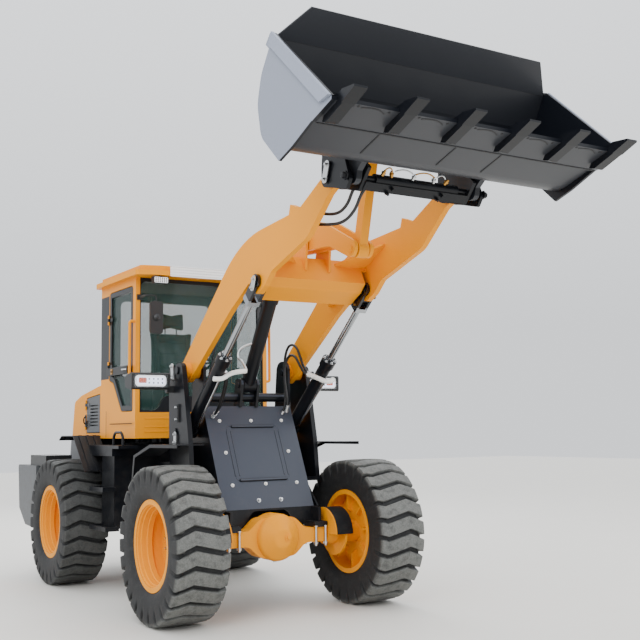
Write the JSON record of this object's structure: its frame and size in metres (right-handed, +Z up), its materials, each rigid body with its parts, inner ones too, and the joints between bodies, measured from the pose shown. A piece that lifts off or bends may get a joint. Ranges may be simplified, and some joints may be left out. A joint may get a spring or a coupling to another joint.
{
  "type": "wheel loader",
  "caption": "Compact articulated wheel loader with a raised boom, a toothed bucket on a quick coupler, a glazed cab and lugged tyres.",
  "frame": {"origin": "middle of the overall length and width, on the ground", "axes": "+X to the machine's left side, -Y to the front where the bucket is, +Z up"},
  "size_m": [2.26, 6.7217, 3.9329],
  "materials": {
    "orange_paint": "gloss",
    "black_paint": "satin",
    "grey_paint": "satin",
    "dark_grey_paint": "satin",
    "white_paint": "gloss",
    "tyre_rubber": "matte",
    "chrome_rod": "polished",
    "tinted_glass": "gloss",
    "seat_fabric": "matte",
    "black_plastic": "matte",
    "worn_steel": "worn",
    "cast_iron": "rough"
  },
  "bodies": {
    "rear_body": {"rear_frame": "black_paint", "rear_axle": "orange_paint", "counterweight": "grey_paint", "engine_block": "cast_iron", "engine_hood": "orange_paint", "hood_grille": "dark_grey_paint", "rear_fenders": "black_paint", "side_tanks": "black_paint", "deck_trays": "black_paint", "cab_floor": "black_paint", "cab_side_walls": "orange_paint", "cab_front_wall": "orange_paint", "cab_rear_wall": "orange_paint", "cab_roof": "orange_paint", "cab_glass": "tinted_glass", "seat_base": "black_plastic", "seat_pads": "seat_fabric", "cab_controls": "black_plastic", "mirrors": "black_plastic", "work_lights": "black_plastic", "grab_rails": "orange_paint", "exhaust": "black_paint", "lamp_boxes": "black_plastic"},
    "front_body": {"front_frame": "black_paint", "front_axle": "orange_paint", "front_fenders": "black_paint", "headlights": "white_paint"},
    "cab_door_left": {"cab_door_left": "black_paint", "door_glass_left": "tinted_glass"},
    "cab_door_right": {"cab_door_right": "black_paint", "door_glass_right": "tinted_glass"},
    "hood_door_left": {"hood_door_left": "grey_paint"},
    "hood_door_right": {"hood_door_right": "grey_paint"},
    "boom": {"boom": "orange_paint"},
    "bellcrank": {"bellcrank": "orange_paint"},
    "bucket": {"coupler": "black_paint", "bucket": "dark_grey_paint", "bucket_teeth": "worn_steel"},
    "tilt_link": {"tilt_link": "orange_paint"},
    "lift_barrels": {"lift_barrels": "black_paint"},
    "lift_rods": {"lift_rods": "chrome_rod"},
    "tilt_barrel": {"tilt_barrel": "black_paint"},
    "tilt_rod": {"tilt_rod": "chrome_rod"},
    "steer_barrel_left": {"steer_barrel_left": "black_paint"},
    "steer_rod_left": {"steer_rod_left": "chrome_rod"},
    "steer_barrel_right": {"steer_barrel_right": "black_paint"},
    "steer_rod_right": {"steer_rod_right": "chrome_rod"},
    "wheel_front_left": {"tyre_front_left": "tyre_rubber", "rim_front_left": "orange_paint"},
    "wheel_front_right": {"tyre_front_right": "tyre_rubber", "rim_front_right": "orange_paint"},
    "wheel_rear_left": {"tyre_rear_left": "tyre_rubber", "rim_rear_left": "orange_paint"},
    "wheel_rear_right": {"tyre_rear_right": "tyre_rubber", "rim_rear_right": "orange_paint"}
  },
  "joints": [
    {"name": "articulation", "type": "hinge", "parent": "rear_body", "child": "front_body", "pos_m": [0, 0.7831, 0.85], "axis": [0, 0, 1], "range_deg": [-35, 35]},
    {"name": "boom_lift", "type": "hinge", "parent": "front_body", "child": "boom", "pos_m": [0, 0.0331, 1.925], "axis": [-1, 0, 0], "range_deg": [-66.5, 16.5]},
    {"name": "bucket_tilt", "type": "hinge", "parent": "boom", "child": "bucket", "pos_m": [0, -2.2281, 3.05091], "axis": [-1, 0, 0], "range_deg": [-65, 80]},
    {"name": "bellcrank_swing", "type": "hinge", "parent": "boom", "child": "bellcrank", "pos_m": [0, -1.15807, 2.87559], "axis": [-1, 0, 0], "range_deg": [-28, 24]},
    {"name": "tilt_link_swing", "type": "hinge", "parent": "bucket", "child": "tilt_link", "pos_m": [0, -1.97618, 3.3998], "axis": [-1, 0, 0], "range_deg": [-72, 58]},
    {"name": "lift_barrel_swing", "type": "hinge", "parent": "front_body", "child": "lift_barrels", "pos_m": [0, 0.0631, 1.43], "axis": [-1, 0, 0], "range_deg": [-60, 16]},
    {"name": "lift_rod_slide", "type": "slide", "parent": "lift_barrels", "child": "lift_rods", "axis": [0, -0.7611, 0.6487], "range_m": [-0.52, 0.14]},
    {"name": "tilt_barrel_swing", "type": "hinge", "parent": "front_body", "child": "tilt_barrel", "pos_m": [0, -0.0519, 1.805], "axis": [-1, 0, 0], "range_deg": [-71, 19]},
    {"name": "tilt_rod_slide", "type": "slide", "parent": "tilt_barrel", "child": "tilt_rod", "axis": [0, -0.528, 0.8492], "range_m": [-0.17, 0.21]},
    {"name": "steer_barrel_swing_left", "type": "hinge", "parent": "rear_body", "child": "steer_barrel_left", "pos_m": [0.23, 1.0731, 0.85], "axis": [0, 0, 1], "range_deg": [-22, 22]},
    {"name": "steer_rod_slide_left", "type": "slide", "parent": "steer_barrel_left", "child": "steer_rod_left", "axis": [0, -1, 0], "range_m": [-0.15, 0.15]},
    {"name": "steer_barrel_swing_right", "type": "hinge", "parent": "rear_body", "child": "steer_barrel_right", "pos_m": [-0.23, 1.0731, 0.85], "axis": [0, 0, 1], "range_deg": [-22, 22]},
    {"name": "steer_rod_slide_right", "type": "slide", "parent": "steer_barrel_right", "child": "steer_rod_right", "axis": [0, -1, 0], "range_m": [-0.15, 0.15]},
    {"name": "cab_door_left_swing", "type": "hinge", "parent": "rear_body", "child": "cab_door_left", "pos_m": [0.67, 1.4951, 2.2], "axis": [0, 0, 1], "range_deg": [0, 95]},
    {"name": "cab_door_right_swing", "type": "hinge", "parent": "rear_body", "child": "cab_door_right", "pos_m": [-0.67, 1.4951, 2.2], "axis": [0, 0, -1], "range_deg": [0, 95]},
    {"name": "hood_door_left_swing", "type": "hinge", "parent": "rear_body", "child": "hood_door_left", "pos_m": [0.65, 2.2001, 1.6], "axis": [0, 0, 1], "range_deg": [0, 90]},
    {"name": "hood_door_right_swing", "type": "hinge", "parent": "rear_body", "child": "hood_door_right", "pos_m": [-0.65, 2.2001, 1.6], "axis": [0, 0, -1], "range_deg": [0, 90]},
    {"name": "wheel_front_left_spin", "type": "hinge", "parent": "front_body", "child": "wheel_front_left", "pos_m": [0.86, -0.4869, 0.5875], "axis": [1, 0, 0], "continuous": true},
    {"name": "wheel_front_right_spin", "type": "hinge", "parent": "front_body", "child": "wheel_front_right", "pos_m": [-0.86, -0.4869, 0.5875], "axis": [1, 0, 0], "continuous": true},
    {"name": "wheel_rear_left_spin", "type": "hinge", "parent": "rear_body", "child": "wheel_rear_left", "pos_m": [0.86, 2.0581, 0.5875], "axis": [1, 0, 0], "continuous": true},
    {"name": "wheel_rear_right_spin", "type": "hinge", "parent": "rear_body", "child": "wheel_rear_right", "pos_m": [-0.86, 2.0581, 0.5875], "axis": [1, 0, 0], "continuous": true}
  ],
  "couplings": [
    {"joint": "bellcrank_swing", "follows": "bucket_tilt", "ratio": -0.323},
    {"joint": "tilt_link_swing", "follows": "bucket_tilt", "ratio": -0.838},
    {"joint": "lift_barrel_swing", "follows": "boom_lift", "ratio": 0.8795},
    {"joint": "lift_rod_slide", "follows": "boom_lift", "m_per_rad": 0.436},
    {"joint": "tilt_barrel_swing", "follows": "boom_lift", "ratio": 1.04},
    {"joint": "tilt_rod_slide", "follows": "bucket_tilt", "m_per_rad": 0.137},
    {"joint": "steer_barrel_swing_left", "follows": "articulation", "ratio": 0.585},
    {"joint": "steer_rod_slide_left", "follows": "articulation", "m_per_rad": -0.2266},
    {"joint": "steer_barrel_swing_right", "follows": "articulation", "ratio": 0.585},
    {"joint": "steer_rod_slide_right", "follows": "articulation", "m_per_rad": 0.2266}
  ]
}
